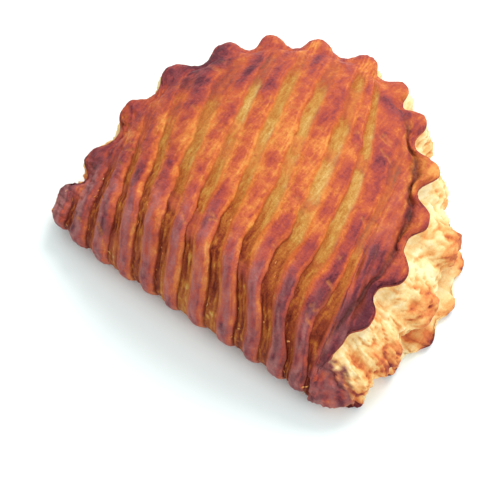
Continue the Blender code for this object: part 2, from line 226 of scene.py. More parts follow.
def rim_normal(run):
    along = rim_point(np.minimum(run + 1.5, RIM)) - rim_point(np.maximum(run - 1.5, 0.0))
    out = np.stack([-along[..., 1], along[..., 0]], -1)
    return out / np.linalg.norm(out, axis=-1, keepdims=True)


def rim_distance(x, y):
    """Distance to the rim, and the run along it of the nearest point."""
    near, run = np.empty(x.size), np.empty(x.size)
    points = np.stack([x.ravel(), y.ravel()], -1)
    rim, rim_run = OUTLINE[::2], OUTLINE_RUN[::2]
    squares = (rim ** 2).sum(1)
    for start in range(0, len(points), 4000):
        part = points[start:start + 4000]
        gap = squares[None] - 2.0 * part @ rim.T
        pick = gap.argmin(axis=1)
        near[start:start + 4000] = np.linalg.norm(part - rim[pick], axis=1)
        run[start:start + 4000] = rim_run[pick]
    return near.reshape(x.shape), run.reshape(x.shape)


def fold_y(x):
    along = x / FOLD_HALF
    return -FOLD_BOW * (1.0 - FOLD_SKEW * along) * np.clip(1.0 - np.abs(along) ** 6, 0.0, 1.0)


def teeth(run, shift=0.0):
    """-1 in a notch to 1 on a tooth."""
    phase = np.interp(run, TEETH, np.arange(len(TEETH)))
    return np.tanh(1.15 * np.cos(2.0 * pi * (phase + shift)) + 0.06) / np.tanh(1.2)


def base_teeth(run):
    """Scallops of the base skin, 0 between them to 1 on each."""
    return np.max([bump(RIM - run - at, 4.6) for at in BASE_TEETH], axis=0)


def seal_line(run):
    """How far in from the rim the seal's valley lies; it runs straighter than the teeth."""
    return SEAL_INSET - 0.7 + 0.8 * teeth(run) + 0.5 * noise(run / 7.0, 0.2, 0.9, seed=7)


def tooth_reach(run):
    """How far the rim stands out or in, in millimetres."""
    fade = smooth(np.minimum(run / 8.0, (RIM - run - 14.0) / 8.0))
    ragged = 0.30 * noise(run / 5.0, 0.3, 0.7, seed=3) + 0.10 * noise(run / 1.6, 0.1, 0.4, seed=4)
    reach = TOOTH_DEPTH * teeth(run) * (1.0 + 0.16 * noise(run / 16.0, 0.6, 0.2, seed=5))
    return (reach + FINGER * bump(RIM - run - FINGER_AT, 5.0) + ragged) * fade


# Heights

def edge_height(run):
    """Height of the skin at its rim."""
    rise = mix(EDGE_LEFT, EDGE_HEIGHT, smooth(run / RIM / 0.25))
    return rise - (EDGE_HEIGHT - EDGE_RIGHT) * after(run / RIM, 0.86, 0.14)


def skin_height(x, y):
    """Height of the skin without its slats, its distance from the rim and the run along it."""
    inset, run = rim_distance(x, y)
    edge = edge_height(run)
    dome_run = mix(DOME_RUN_LEFT, DOME_RUN, smooth((x + 54.0) / 54.0))
    rise = 1.0 - (1.0 - np.clip(inset / dome_run, 0.0, 1.0)) ** 2
    z = mix(edge, DOME_HEIGHT, rise)
    crimp = after(np.minimum(run, RIM - run), 6.0, 22.0)
    sealed = SEAL_DEPTH * (0.75 + 0.6 * noise(run / 9.0, 0.2, 0.9, seed=6))
    crimped = mix(0.22, 1.0, after(run / RIM, 0.58, 0.12))
    crimped = crimped * mix(0.45, 1.0, after(RIM - run, 40.0, 20.0))
    sealed = sealed * crimped
    line = inset - seal_line(run)
    z -= crimp * (0.8 * sealed * bump(line, 1.8) + 1.1 * crimped * bump(line, 0.8))
    rise = LIP_RISE * (0.2 + 0.9 * crimped) * (0.75 + 0.6 * noise(run / 6.0, 0.4, 0.1, seed=8))
    z += crimp * (rise * bump(inset - 1.4, 2.2) - smooth(1.0 - inset / 9.0))
    back = np.clip(y - fold_y(x), 0.0, NOSE_RUN)
    nose = np.sqrt(1.0 - ((NOSE_RUN - back) / (NOSE_RUN + NOSE_OUT)) ** 2)
    return NOSE_HEIGHT + (z - NOSE_HEIGHT) * nose, inset, run


# Slats

def opening(y):
    """0 down the fold, where the slashes are deep, to 1 on top, where they gape."""
    return after(y, 14.0, 36.0)


def slash_edges(y):
    """X of every slat's left edge at each y."""
    y = np.maximum(y, -3.0)
    edges = []
    for number, (at_fold, middle, back) in enumerate(SLASHES):
        t = y / SLASH_SPAN
        bend = 0.5 * (at_fold + back) - middle
        edge = at_fold + (middle - at_fold - bend) * t + bend * t ** 2
        edge = edge + 0.4 * np.sin(4.2 * t + 0.9 * at_fold)
        swing = 1.0 - smooth((y + 3.0) / 14.0) - 0.36 * bump(y - 21.0, 8.0)
        edge = edge + (number < LAST_SLAT) * SWEEP * smooth((at_fold + 12.0) / 40.0) * swing
        torn = (0.42 * noise(y / 8.0, number * 3.3, 0.5, seed=21)
                + 0.22 * noise(y / 2.8, number * 3.3, 2.5, seed=22))
        edges.append(edge + torn * after(y, 2.0, 10.0))
    return np.array(edges)


def slat_widths(y):
    """Each slat's share of its pitch; its right edge is torn on its own."""
    widths = []
    for number, width in enumerate(SLAT_WIDTH):
        torn = (0.075 * noise(y / 9.0, number * 5.1, 1.5, seed=23)
                + 0.030 * noise(y / 3.0, number * 5.1, 2.5, seed=25)
                + 0.016 * noise(y / 1.3, number * 5.1, 3.5, seed=24))
        low = 1.0 - after(y, 2.0, 24.0)
        # the last two are broad at the fold, and the last is narrow just behind it
        if number in (LAST_SLAT - 2, LAST_SLAT - 1):
            if number == LAST_SLAT - 1:
                width = width - 0.15 * (1.0 - after(y, 12.0, 18.0)) * after(y, 1.0, 7.0)
            width = width + 0.20 * before(y, 4.0, 6.0)
        widths.append(width + torn - 0.055 * low)
    return np.array(widths)


def slat_phase(x, y):
    """Counts the slats: whole on each one's left edge, SLAT_SHARE more on its right."""
    edges, widths = slash_edges(y), slat_widths(y)
    phase = 0.0
    for left, right, slat in zip(edges[:-1], edges[1:], widths):
        part = np.clip((x - left) / (right - left), 0.0, 1.0)
        phase = phase + np.where(part < slat, part / slat * SLAT_SHARE,
                                 1.0 - (1.0 - part) / (1.0 - slat) * (1.0 - SLAT_SHARE))
    return phase


def slat_x(phase, y):
    """Where that phase lies at y."""
    edges, widths = slash_edges(y), slat_widths(y)
    number = np.clip(np.floor(phase), 0, len(SLASHES) - 2).astype(int)
    part = phase - number
    slat = np.take_along_axis(widths, number[None], 0)[0]
    part = np.where(part < SLAT_SHARE, part / SLAT_SHARE * slat,
                    1.0 - (1.0 - part) / (1.0 - SLAT_SHARE) * (1.0 - slat))
    left = np.take_along_axis(edges, number[None], 0)[0]
    right = np.take_along_axis(edges, number[None] + 1, 0)[0]
    return mix(left, right, part)


# Mesh

def loft_lines():
    """Lines that follow the slats from the fold to the rim, close together where they turn."""
    numbers = np.arange(FIRST_SLAT, LAST_SLAT)
    within = np.r_[0.0, 0.02, 0.045, 0.08, np.linspace(0.125, 0.52, 9), 0.565, 0.60, 0.622,
                   0.64, 0.652, 0.668, 0.69, np.linspace(0.72, 0.90, 6), 0.925, 0.95, 0.972]
    phase = np.r_[(numbers[:, None] + within[None]).ravel(), LAST_SLAT]
    fold_x = slat_x(phase, fold_y(slat_x(phase, np.zeros(phase.shape))))
    rim_phase = np.maximum.accumulate(slat_phase(OUTLINE[:, 0], OUTLINE[:, 1]))
    on_way = OUTLINE_RUN < 0.75 * RIM
    rim_phase = rim_phase[on_way] + 1e-6 * np.arange(on_way.sum())
    run = np.interp(phase, rim_phase, OUTLINE_RUN[on_way])
    left = np.linspace(0.0, 1.0, LEFT_LINES + 1)[:-1]
    right = np.linspace(0.0, 1.0, RIGHT_LINES + 1)[1:]
    fold_x = np.r_[mix(-FOLD_HALF, fold_x[0], left), fold_x, mix(fold_x[-1], FOLD_HALF, right)]
    run = np.r_[mix(LEFT_SIDE, run[0], left), run, mix(run[-1], RIM - RIGHT_SIDE, right)]
    phase = np.r_[np.full(LEFT_LINES, phase[0]), phase, np.full(RIGHT_LINES, phase[-1])]
    return phase, fold_x, run


def skin_patch():
    """The top skin as a grid: a lofted line to each row, STEPS points to each line."""
    phase, fold_x, arch_run = loft_lines()
    step = np.linspace(0.0, 1.0, STEPS)
    step = mix(step, 1.0 - (1.0 - step) ** 1.5, 0.45)
    fold = np.stack([fold_x, fold_y(fold_x)], -1)
    left_run, right_run = step * LEFT_SIDE, RIM - step * RIGHT_SIDE
    arch, left, right = rim_point(arch_run), rim_point(left_run), rim_point(right_run)
    arch[0], arch[-1], fold[0], fold[-1] = left[-1], right[-1], left[0], right[0]
    plan = mix(fold[:, None], arch[:, None], step[None, :, None])
    along = slat_x(np.repeat(phase[:, None], STEPS, 1), plan[..., 1])
    plan[..., 0] += along - mix(along[:, :1], along[:, -1:], step[None])
    count = np.arange(len(fold_x))
    first, last = LEFT_LINES, len(fold_x) - 1 - RIGHT_LINES
    u = 1.0 - np.clip(count / first, 0.0, 1.0)[:, None, None]
    w = np.clip((count - last) / RIGHT_LINES, 0.0, 1.0)[:, None, None]
    plan = plan + u * (left - plan[0])[None] + w * (right - plan[-1])[None]
    z, inset, run = skin_height(plan[..., 0], plan[..., 1])
    run[:, -1], run[-1], run[0] = arch_run, right_run, left_run
    # the teeth push the skin near the rim in and out
    reach = tooth_reach(run) * (1.0 - smooth(inset / 8.5))
    plan = plan + rim_normal(run) * reach[..., None]
    line_phase = np.repeat(phase[:, None], STEPS, 1)
    sides = (count[:, None] < first) | (count[:, None] > last)
    line_phase = np.where(sides, np.nan, line_phase)
    runs = (right_run, arch_run, left_run)
    return np.concatenate([plan, z[..., None]], -1), inset, run, line_phase, runs


def border(lines, runs):
    """The grid's border, once round from the left end of the fold, and its run along the rim."""
    right_run, arch_run, left_run = runs
    walk = [(i, 0) for i in range(lines)]
    walk += [(lines - 1, j) for j in range(1, STEPS)]
    walk += [(i, STEPS - 1) for i in range(lines - 2, -1, -1)]
    walk += [(0, j) for j in range(STEPS - 2, 0, -1)]
    run = np.concatenate([np.full(lines, np.nan), right_run[1:],
                          arch_run[::-1][1:], left_run[::-1][1:-1]])
    return np.array(walk), run


def corner_walk(edge, lines):
    """Distance along the border from the left and from the right corner of the fold."""
    walk = np.r_[0.0, np.cumsum(np.linalg.norm(np.diff(edge[:, :2], axis=0), axis=1))]
    left = np.where(np.arange(len(walk)) >= lines, walk[-1] - walk, -walk)
    return left, walk - walk[lines - 1]


def wall_rings(edge, run, lines):
    """Rings from the skin's border down to the base: the cut edge, and the fold's front."""
    left, right = corner_walk(edge, lines)
    out = np.where(np.isnan(run)[:, None], (0.0, -1.0), rim_normal(np.nan_to_num(run)))
    for walk, start, end in ((left, 1.5 * pi, pi - 0.04), (right, -0.5 * pi, 0.04)):
        turning = np.abs(walk) < CORNER_TURN
        angle = mix(start, end, smooth(0.5 + 0.5 * walk / CORNER_TURN))
        out[turning] = np.stack([np.cos(angle), np.sin(angle)], -1)[turning]
    run = np.where(np.isnan(run), np.where(edge[:, 0] < 0.0, 0.0, RIM), run)
    on_rim = np.arange(len(edge)) >= lines
    cut = smooth((right + 1.5) / 7.5) * np.where(on_rim, smooth(left / 14.0), 1.0)
    share = run / RIM
    side = after(share, 0.59, 0.18)
    side = mix(mix(FLARE_LEFT, FLARE_BACK, smooth(share / 0.21)), 1.0, side)
    base = BASE_FLARE / FLARE * (1.0 - 0.38 * after(share, 0.84, 0.12))
    base = mix(1.0, base, after(share, 0.66, 0.14)) * side * FLARE
    skin = TOOTH_DEPTH * teeth(run) * smooth(np.minimum(run, RIM - run) / 8.0)
    skin = skin + (FINGER + 1.2) * bump(RIM - run - FINGER_AT + 1.0, 8.0)
    apart = 1.0 - 0.5 * after(share, 0.10, 0.20) * (1.0 - after(share, 0.62, 0.12))
    upper = apart * (SHEET_TOOTH * teeth(run, SHEET_SHIFT) - skin)
    lower = BASE_TOOTH * (2.0 * base_teeth(run) - 1.0) - skin
    top = edge[:, 2]
    nose_top = np.arccos(NOSE_RUN / (NOSE_RUN + NOSE_OUT))
    # rows of the profile, finer where it turns
    last_row = len(CUT_EDGE) - 1.0
    row = np.concatenate([np.linspace(-0.75, 2.0, 13), np.linspace(2.0, 7.0, 22)[1:],
                          np.linspace(7.0, last_row, RINGS - 33)[1:]])
    rounded = np.linspace(-2.0, last_row + 2.0, 400)
    table = np.array([np.interp(rounded, np.arange(-1, len(CUT_EDGE)),
                                np.r_[0.0 if k != 4 else 1.0, CUT_EDGE[:, k]]) for k in range(6)])
    kernel = np.hanning(25)
    kernel /= kernel.sum()
    half = len(kernel) // 2
    table = np.array([np.convolve(np.pad(c, half, mode="edge"), kernel, mode="valid")
                      for c in table])
    flare_base = smooth((rounded - (last_row - 3.0)) / 1.0)
    turn_row = np.interp(row, [-1.0, 5.0, last_row], [nose_top, 0.0, -0.5 * pi])
    rings = []
    for at, turn in zip(row, turn_row):
        share_, up, low, out_mm, height, height_mm = (np.interp(at, rounded, c) for c in table)
        flare = mix(side * FLARE, base, np.interp(at, rounded, flare_base))
        if turn >= 0.0:
            nose = (NOSE_RUN + NOSE_OUT) * np.cos(turn) - NOSE_RUN
            nose_z = NOSE_HEIGHT + (top - NOSE_HEIGHT) * np.sin(turn) / np.sin(nose_top)
        else:
            nose = 8.0 * np.cos(turn) - 8.0 + NOSE_OUT
            nose_z = NOSE_HEIGHT * (1.0 + np.sin(turn))
        held = after(RIM - run, 5.0, 10.0) if at < 1.6 else 1.0
        reach = mix(nose, share_ * flare + up * upper + low * lower + out_mm * held, cut)
        z = mix(nose_z, height * top + height_mm, cut)
        if at == row[-1]:
            z = z * 0.0
        rings.append(np.concatenate([edge[:, :2] + out * reach[:, None], z[:, None]], -1))
    return rings, row, cut, run


def vertex_normals(points, quads):
    corner = points[quads]
    face = np.cross(corner[:, 2] - corner[:, 0], corner[:, 3] - corner[:, 1])
    normal = np.zeros_like(points)
    for k in range(4):
        np.add.at(normal, quads[:, k], face)
    return normal / np.maximum(np.linalg.norm(normal, axis=1, keepdims=True), 1e-9)


def bridged(number, y):
    """Where a slash stayed shut, or tore only part of the way."""
    shut = after(noise(number * 7.3, y / 15.0, 0.5, seed=26), 0.34, 0.22)
    crossing = bump(y - 47.0 - 4.0 * np.sin(number * 2.1), 5.5)
    crossing = crossing * after(number, 3.5, 1.0) * before(number, 8.5, 1.0)
    last = (number == LAST_SLAT - 1) * after(y, 36.0, 10.0)
    ends = np.interp(number, np.arange(len(SLASH_ENDS)), SLASH_ENDS)
    closed = smooth((y - ends + 4.0) / 9.0) * (number < len(SLASH_ENDS))
    return np.clip(0.75 * shut + 0.6 * crossing + 0.8 * last + 0.85 * closed, 0.0, 0.85)


def slat_profile(phase, opened, fibre, frayed, shut):
    """Millimetres along the normal, how much of it is slat, and the place across its slash."""
    side = phase - np.floor(phase)
    t = np.clip((side - SLAT_SHARE) / (1.0 - SLAT_SHARE), 0.0, 1.0)
    floor = mix(mix(-1.65, -0.75, t ** 0.6), mix(-1.10, -0.55, t ** 0.8), opened)
    floor = floor + mix(0.36, 0.17, opened) * fibre * smooth(t / 0.12)
    over = np.clip(side / SLAT_SHARE, 0.0, 1.0)
    peak = mix(0.40, 0.50, opened)
    slope = np.where(over < peak, (peak - over) / peak * mix(0.85, 1.0, opened),
                     (over - peak) / (1.0 - peak))
    crown = mix(0.46, 0.36, opened) - mix(1.05, 0.55, opened) * slope ** mix(2.3, 2.5, opened)
    crown = crown + mix(0.26, 0.18, opened) * frayed * after(over, 0.50, 0.3)
    left = before(side, SLAT_SHARE + mix(0.035, 0.06, opened), mix(0.05, 0.10, opened))
    climb = np.maximum(left, after(side, mix(0.91, 0.85, opened), mix(0.09, 0.15, opened)))
    floor = mix(floor, floor * SHALLOW, smooth((phase - LAST_SLAT + 0.6) * 20.0))
    floor = mix(floor, -0.3 + 0.2 * frayed, shut)
    return mix(floor, crown, climb), climb, t


def plain_surface():
    """The closed surface before its relief, and where each of its points lies."""
    patch, inset, near_run, line_phase, runs = skin_patch()
    lines = patch.shape[0]
    walk, run = border(lines, runs)
    edge = (walk[:, 0], walk[:, 1])
    rings, row, cut, ring_run = wall_rings(patch[edge], run, lines)
    count, size, n_rings = len(walk), lines * STEPS, len(rings)

    i, j = np.meshgrid(np.arange(lines - 1), np.arange(STEPS - 1), indexing="ij")
    at = i * STEPS + j
    quads = [np.stack([at, at + STEPS, at + STEPS + 1, at + 1], -1).reshape(-1, 4)]
    above = walk[:, 0] * STEPS + walk[:, 1]
    for k in range(n_rings):
        below = size + k * count + np.arange(count)
        quads.append(np.stack([above, below, np.roll(below, -1), np.roll(above, -1)], -1))
        above = below
    points, quads = np.concatenate([patch.reshape(-1, 3)] + rings), np.concatenate(quads)

    def all_over(on_patch, on_ring):
        """A value per point, from the patch's own and the one shared by every ring."""
        return np.concatenate([on_patch.ravel(), np.tile(on_ring, n_rings)])

    x, y, z = points.T.copy()
    known = all_over(line_phase, np.where(np.arange(count) < lines, line_phase[edge], np.nan))
    phase = np.where(np.isnan(known), slat_phase(x, y), known)
    phase = np.where(phase > LAST_SLAT, LAST_SLAT + END_SLAT_SHARE * SLAT_SHARE, phase)
    # where the slats stand out: inside the seal, down the fold and low at the right
    far = inset.ravel()
    front = (1.0 - after(y[:size], 1.0, 9.0)) * smooth(far / 4.0)
    right_low = after(x[:size], 36.0, 8.0) * (1.0 - after(y[:size], 30.0, 12.0))
    right_low = right_low * after(far, 2.0, 3.0)
    on_skin = np.maximum(np.maximum(after(far, 5.0, 7.0), front), right_low)
    skin = all_over(np.ones(size), 1.0 - cut)
    return points, quads, above[::-1], {
        "x": x, "y": y, "z": z, "phase": phase, "number": np.floor(phase),
        "side": phase - np.floor(phase), "opened": opening(y), "skin": skin, "cut": 1.0 - skin,
        "on_skin": all_over(on_skin, 1.0 - cut), "inset": all_over(inset, inset[edge]),
        "run": all_over(near_run, ring_run),
        "row": np.concatenate([np.full(size, -1.0), np.repeat(row, count)])}


# Relief. The first function makes lift, which is in millimetres along the normal,
# and the others add to it. Each keeps in m the masks that the baking needs.

def slat_relief(m):
    """Slats, the fibrous slashes between them and the streaks at the right end."""
    x, y, z, phase = m["x"], m["y"], m["z"], m["phase"]
    on_skin, opened = m["on_skin"], m["opened"]
    beyond = np.where(phase > LAST_SLAT, x + 0.30 * y - 60.0, 0.0)
    across = phase * SLAT_PITCH + beyond
    fibre = (0.8 * noise(across / 0.9, y / 6.0, 0.0, seed=31)
             + 0.7 * noise(across / 0.45, y / 2.6, 0.0, seed=32)
             + 0.5 * noise(across / 1.7, y / 9.0, 0.0, seed=33))
    frayed = (noise(across / 0.7, y / 1.6, z / 4.0, seed=34)
              + 0.6 * noise(across / 1.6, y / 4.2, z / 6.0, seed=35))
    shut = bridged(m["number"], y + 1.5 * frayed)
    depth, climb, t = slat_profile(phase, opened, fibre, frayed, shut)
    strength = mix(1.10, 1.0, opened) * smooth((z + 4.0) / 8.0) * on_skin
    strength = strength * (1.0 - 0.4 * after(y, 28.0, 20.0) * after(-x, 10.0, 16.0))

    plateau = (phase > LAST_SLAT) * on_skin * smooth(m["inset"] / 3.0)
    streak = (noise(across / 1.9, y / 24.0, 0.7, seed=81)
              + 0.5 * noise(across / 0.9, y / 12.0, 0.7, seed=84))
    streak = after(streak, 0.06, 0.35) * plateau * (1.0 - after(y, 54.0, 14.0))
    slat = (1.0 - (1.0 - climb) * on_skin) * (1.0 - 0.85 * streak)
    m.update(across=across, fibre=fibre, frayed=frayed, shut=shut, t=t, slat=slat,
             strength=strength)
    return depth * strength - streak * (0.42 - 0.22 * fibre)


def crack_lines(m):
    """Cracks in the glaze: short lines across single slats, at random places."""
    crack = np.zeros(len(m["phase"]))
    for k in range(CRACKS):
        number = _rng.integers(FIRST_SLAT, LAST_SLAT)
        where = _rng.uniform(-2.0, 92.0)
        tilt = _rng.uniform(-0.5, 0.5)
        length = _rng.uniform(0.25, 0.8)
        start = _rng.uniform(0.0, 0.45)
        end = min(start + length, SLAT_SHARE - 0.02)
        side = m["phase"] - number
        line = m["y"] - where - tilt * SLAT_PITCH * side - 0.7 * noise(side * 8.0, k, 0.5, seed=45)
        crack = np.maximum(crack, bump(line, 0.42) * (m["number"] == number)
                           * after(side, start, 0.06) * before(side, end, 0.06))
    return crack * (m["skin"] * m["on_skin"])


def skin_relief(m, lift):
    """The skin's crease at the lower right, its lumps, wrinkles and cracks."""
    x, y, z, across = m["x"], m["y"], m["z"], m["across"]
    skin, slat, away = m["skin"], m["slat"], RIM - m["run"]
    crease = bump(m["inset"] - seal_line(m["run"]) - 0.15 * m["frayed"], 0.65) * skin
    crease = crease * after(away, 12.0, 6.0) * (1.0 - after(away, 42.0, 10.0))
    lift -= CREASE_DEPTH * crease

    crest = bump(y - 60.0 + 0.35 * x, 19.0) * before(np.abs(x), 32.0, 14.0)
    lift += skin * (0.26 * noise(x / 6.0, y / 8.0, z / 9.0, seed=41)
                    + 0.20 * noise(x / 2.6, y / 3.0, z / 3.0, seed=42)
                    + 0.10 * noise(x / 1.2, y / 1.4, z / 1.4, seed=43)) * mix(0.5, 1.0, slat)
    lift += skin * slat * crest * 0.30 * noise(across / 7.0, y / 2.4, 4.0, seed=44)
    wrinkled = skin * slat * before(x, 14.0, 30.0) * (1.0 - after(y, 34.0, 20.0))
    wrinkle = noise(across / 6.0, (y + 0.4 * z) / 1.7, z / 5.0, seed=85)
    lift -= wrinkled * 0.42 * after(wrinkle, 0.12, 0.4)
    crack = crack_lines(m)
    lift -= CRACK_DEPTH * crack
    m.update(crease=crease, crest=crest, crack=crack)


def cut_relief(m, lift):
    """The cut edge: lumps where it puffed, folds and ridges down it, veins and thin leaves."""
    run, z, row = m["run"], m["z"], m["row"]
    share = run / RIM
    lump = noise(run / 8.0, z / 6.5, 0.0, seed=51) + 0.5 * noise(run / 3.8, z / 3.4, 0.0, seed=52)
    folds = noise(run / 2.6, z / 8.0, 0.0, seed=58) + 0.5 * noise(run / 1.3, z / 4.5, 0.0, seed=59)
    sag = (z + 1.3 * noise(run / 9.0, z / 9.0, 0.0, seed=53)
           + 0.5 * noise(run / 3.0, z / 4.0, 0.0, seed=54))
    leaves = (noise(run / 12.0, sag / 0.9, 0.0, seed=55)
              + 0.6 * noise(run / 5.0, sag / 0.5, 0.0, seed=56))
    flesh = m["cut"] * after(row, 0.9, 0.8) * before(row, 9.8, 0.8)
    puffed = after(share, 0.60, 0.12) * (1.0 - 0.3 * after(share, 0.95, 0.04))
    knuckle = smooth(0.5 + 0.75 * teeth(run, SHEET_SHIFT)) * bump(row - 5.0, 1.9) * puffed
    knuckle = knuckle * (1.0 - 0.7 * after(RIM - run, 72.0, 10.0))
    crust = -np.abs(noise(run / 5.0 + z / 9.0, z / 4.0, 0.0, seed=60)) * 2.0 + 0.7
    ridge = 1.0 - 2.2 * np.abs(noise(run / 4.2 + 0.10 * z, z / 14.0, 0.0, seed=77))
    ridge = ridge + 0.45 * (1.0 - 2.2 * np.abs(noise(run / 1.9 - 0.12 * z, z / 8.0, 0.0, seed=78)))
    lift += flesh * 0.55 * ridge
    vein = (bump(noise(run / 7.0, z / 6.0, 0.0, seed=82), 0.07)
            + 0.7 * bump(noise(run / 3.6, z / 3.2, 0.0, seed=83), 0.08))
    vein = np.clip(vein, 0.0, 1.0) * flesh
    lift -= VEIN_DEPTH * vein
    lift += flesh * (0.85 * lump * after(row, 1.5, 1.5)
                     + 0.50 * leaves + 0.45 * folds + 0.6 * crust
                     + 0.26 * noise(run / 1.0, z / 0.9, 0.0, seed=57)
                     + KNUCKLE_RISE * knuckle - 0.7 * puffed)
    m.update(lump=lump, folds=folds, leaves=leaves, knuckle=knuckle, crust=crust, ridge=ridge,
             vein=vein)


def edge_relief(m, lift):
    """The fold's rough right end, the pressed rim and the base skin's edge."""
    x, y, z, run, far = m["x"], m["y"], m["z"], m["run"], m["inset"]
    scab = after(x + 0.3 * z, 53.0, 6.0) * before(y, 13.0, 8.0) * smooth(z / 2.0)
    lift += scab * (0.85 * noise(x / 3.4, y / 3.4, z / 5.0, seed=66)
                    + 0.50 * noise(x / 1.5, y / 1.5, z / 2.4, seed=67)
                    + 0.25 * noise(x / 0.8, y / 0.8, z / 1.0, seed=72))
    # creases square to the rim, where it was pressed
    pressed = m["skin"] * (1.0 - after(far, 3.0, 6.0)) * after(y, 6.0, 8.0)
    lift += pressed * (0.24 * noise(run / 1.7, far / 6.0, z / 9.0, seed=73)
                       + 0.12 * noise(run / 0.8, far / 2.5, z / 4.0, seed=74))
    flange = m["cut"] * bump(m["row"] - 9.6, 1.2) * after(run / RIM, 0.60, 0.12)
    lift += flange * (0.5 * noise(run / 3.0, z / 3.0, 0.0, seed=61)
                      + 0.25 * noise(run / 1.2, z / 1.5, 0.0, seed=62))
    m["scab"] = scab


def turnover_mesh():
    """Points in millimetres, quads, the base's outline and the masks for the baking."""
    points, quads, base, m = plain_surface()
    normal = vertex_normals(points, quads)
    lift = slat_relief(m)
    skin_relief(m, lift)
    cut_relief(m, lift)
    edge_relief(m, lift)
    z = m["z"]
    points = points + normal * lift[:, None]
    points[:, 2] = np.where(z < 0.02, 0.0, np.maximum(points[:, 2], 0.05))

    # the slat's right edge leans over its slash
    lean = 0.30 * bump(m["side"] - 0.625, 0.04) - 0.20 * bump(m["side"] - 0.70, 0.03)
    lean = lean * (1.0 - 0.8 * m["opened"])
    points[:, 0] += lean * m["strength"] * m["skin"] * after(z, 4.0, 5.0)
    points -= (MIDDLE[0], MIDDLE[1], 0.0)
    return points, quads, base, m


# Baking, with painted sheen, highlight and shade: masks from 0 to 1 that the material's ramps turn
# into colour

def zones(m):
    """The parts of the pastry that bake differently."""
    x, y, z, run = m["x"], m["y"], m["z"], m["run"]
    plateau = smooth((m["number"] - LAST_SLAT + 0.5) * 4.0)
    over = np.clip(m["side"] / SLAT_SHARE, 0.0, 1.0)
    patches = (noise(x / 9.0, y / 11.0, z / 12.0, seed=61)
               + 0.7 * noise(x / 3.6, y / 5.0, z / 5.0, seed=62))
    bands = (noise(m["across"] / 2.2, y / 30.0, 0.2, seed=70)
             + 0.5 * noise(m["across"] / 1.1, y / 12.0, 0.2, seed=71))
    m.update(
        plateau=plateau, over=np.where(plateau > 0.5, 0.5, over), patches=patches,
        front=1.0 - smooth((y + 4.0) / 46.0), fold=1.0 - after(y, 4.0, 26.0),
        right=smooth((x - 22.0 + 0.25 * y) / 30.0) * (1.0 - after(y, 66.0, 26.0)),
        left=after(-x, 30.0, 24.0), lip=bump(m["inset"], 5.2), away=RIM - run, share=run / RIM,
        bands=bands * (1.0 - 0.5 * after(y, 38.0, 16.0)),
        strand=noise(m["across"] / 0.8, y / 9.0, z / 9.0, seed=68),
        spots=(noise(x / 2.6, y / 2.6, z / 3.4, seed=75)
               + 0.6 * noise(x / 1.1, y / 1.1, z / 1.6, seed=76)))


def seal_valley(m):
    """The dark line along the seal, from the back to the lower right."""
    inset, run, away = m["inset"], m["run"], m["away"]
    line = inset - seal_line(run)
    valley = 1.15 * bump(line - 0.2 * m["patches"], 1.0) + 0.12 * bump(line, 2.4)
    valley = valley * (0.85 + 0.5 * noise(run / 5.0, inset / 2.0, 0.3, seed=69))
    valley = valley * after(away, 40.0, 14.0) * after(np.minimum(run, away), 6.0, 16.0)
    valley = valley * m["skin"] * after(m["share"], 0.57, 0.09)
    return np.maximum(valley, 1.2 * m["crease"])


